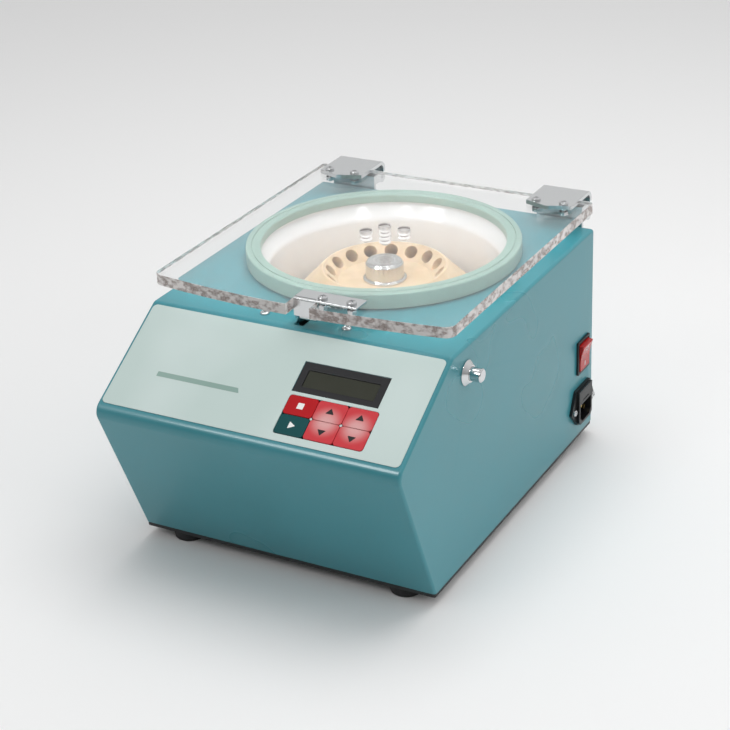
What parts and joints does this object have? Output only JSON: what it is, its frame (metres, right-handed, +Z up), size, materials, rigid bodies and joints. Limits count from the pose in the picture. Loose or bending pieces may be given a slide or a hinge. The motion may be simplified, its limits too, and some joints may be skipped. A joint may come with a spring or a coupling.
{
  "type": "microcentrifuge",
  "caption": "Bench microcentrifuge: painted steel body with a sloped key panel, clear hinged lid, sealed bowl, angled tube rotor, side release button, rocker switch and mains inlet",
  "frame": {"origin": "Under the middle of the whole machine, on the surface that it stands on.", "axes": "+X is the operator's right, with the release button, power switch and mains inlet. +Y runs from the key panel to the lid's hinges at the back. +Z is up."},
  "size_m": [0.2734, 0.3806, 0.22],
  "materials": {
    "housing_paint": "teal powder paint",
    "base_paint": "black powder paint",
    "foot_rubber": "matt",
    "zinc_steel": "bright zinc plating",
    "stainless": "brushed",
    "ground_steel": "ground",
    "acrylic": "clear, polished",
    "seal_rubber": "pale green, satin",
    "boot_rubber": "matt",
    "bowl_enamel": "white gloss enamel",
    "rotor_nylon": "machined, satin",
    "knob_aluminium": "turned",
    "button_chrome": "polished",
    "label_film": "fine texture",
    "key_red": "satin",
    "key_teal": "satin",
    "key_rose": "satin",
    "display_bezel": "black, satin",
    "display_lens": "grey-green",
    "board_laminate": "green solder mask",
    "black_plastic": "fine texture",
    "rocker_red": "tinted",
    "brass": "bright",
    "fuse_glass": "clear",
    "case_aluminium": "cast, bead blasted",
    "lamination_steel": "stacked sheet",
    "sink_aluminium": "black anodised"
  },
  "bodies": {
    "base": {"housing_shell": "housing_paint", "base_plate": "base_paint", "feet": "foot_rubber", "foot_screws": "zinc_steel", "base_screws": "zinc_steel", "bowl": "bowl_enamel", "gasket": "seal_rubber", "hinge_brackets": "stainless", "hinge_pins": "ground_steel", "bracket_screws": "zinc_steel", "lock_bush": "button_chrome", "lock_bush_nut": "zinc_steel", "lock_bracket": "stainless", "lock_screws": "zinc_steel", "lock_nuts": "zinc_steel", "panel_label": "label_film", "display_frame": "display_bezel", "display_glass": "display_lens", "display_board": "board_laminate", "board_spacers": "brass", "key_switches": "black_plastic", "switch_body": "black_plastic", "switch_terminals": "brass", "inlet_body": "black_plastic", "inlet_pins": "brass", "inlet_screws": "zinc_steel", "motor_case": "case_aluminium", "motor_cap": "case_aluminium", "motor_bearings": "ground_steel", "motor_stator": "lamination_steel", "motor_plate": "zinc_steel", "motor_screws": "zinc_steel", "motor_bushes": "foot_rubber", "bush_studs": "zinc_steel", "shaft_boot": "boot_rubber", "control_board": "board_laminate", "control_standoffs": "brass", "heat_sink": "sink_aluminium"},
    "lid_assembly": {"lid": "acrylic", "left_hinge_cover": "stainless", "right_hinge_cover": "stainless", "lid_screws": "zinc_steel", "lid_nuts": "zinc_steel", "latch_strike": "stainless"},
    "rotor_assembly": {"rotor": "rotor_nylon", "rotor_knob": "knob_aluminium", "drive_shaft": "ground_steel", "motor_armature": "lamination_steel"},
    "lock": {"lock_hook": "stainless", "lock_rod": "ground_steel", "lock_button": "button_chrome"},
    "rocker": {"switch_rocker": "rocker_red"},
    "drawer": {"fuse_drawer": "black_plastic", "fuses": "fuse_glass"},
    "start_key": {"start_key": "key_teal"},
    "time_down_key": {"time_down_key": "key_rose"},
    "speed_down_key": {"speed_down_key": "key_rose"},
    "stop_key": {"stop_key": "key_red"},
    "time_up_key": {"time_up_key": "key_rose"},
    "speed_up_key": {"speed_up_key": "key_rose"}
  },
  "joints": [
    {"name": "lid_hinge", "type": "hinge", "parent": "base", "child": "lid_assembly", "pos_m": [-0.00675, 0.18432, 0.198], "axis": [-1, 0, 0], "range_deg": [0, 95]},
    {"name": "rotor_spin", "type": "hinge", "parent": "base", "child": "rotor_assembly", "pos_m": [-0.00675, 0.03902, 0.1702], "axis": [0, 0, 1], "continuous": true},
    {"name": "lock_slide", "type": "slide", "parent": "base", "child": "lock", "axis": [1, 0, 0], "range_m": [0, 0.0045]},
    {"name": "power_switch", "type": "hinge", "parent": "base", "child": "rocker", "pos_m": [0.12325, 0.14482, 0.0856], "axis": [0, -1, 0], "range_deg": [0, 16]},
    {"name": "fuse_drawer_slide", "type": "slide", "parent": "base", "child": "drawer", "axis": [1, 0, 0], "range_m": [0, 0.018]},
    {"name": "start_key_press", "type": "slide", "parent": "base", "child": "start_key", "axis": [0, 0.5145, -0.8575], "range_m": [0, 0.0005], "stiffness_N_per_m": 1500, "springref_m": -0.0002},
    {"name": "time_down_key_press", "type": "slide", "parent": "base", "child": "time_down_key", "axis": [0, 0.5145, -0.8575], "range_m": [0, 0.0005], "stiffness_N_per_m": 1500, "springref_m": -0.0002},
    {"name": "speed_down_key_press", "type": "slide", "parent": "base", "child": "speed_down_key", "axis": [0, 0.5145, -0.8575], "range_m": [0, 0.0005], "stiffness_N_per_m": 1500, "springref_m": -0.0002},
    {"name": "stop_key_press", "type": "slide", "parent": "base", "child": "stop_key", "axis": [0, 0.5145, -0.8575], "range_m": [0, 0.0005], "stiffness_N_per_m": 1500, "springref_m": -0.0002},
    {"name": "time_up_key_press", "type": "slide", "parent": "base", "child": "time_up_key", "axis": [0, 0.5145, -0.8575], "range_m": [0, 0.0005], "stiffness_N_per_m": 1500, "springref_m": -0.0002},
    {"name": "speed_up_key_press", "type": "slide", "parent": "base", "child": "speed_up_key", "axis": [0, 0.5145, -0.8575], "range_m": [0, 0.0005], "stiffness_N_per_m": 1500, "springref_m": -0.0002}
  ]
}
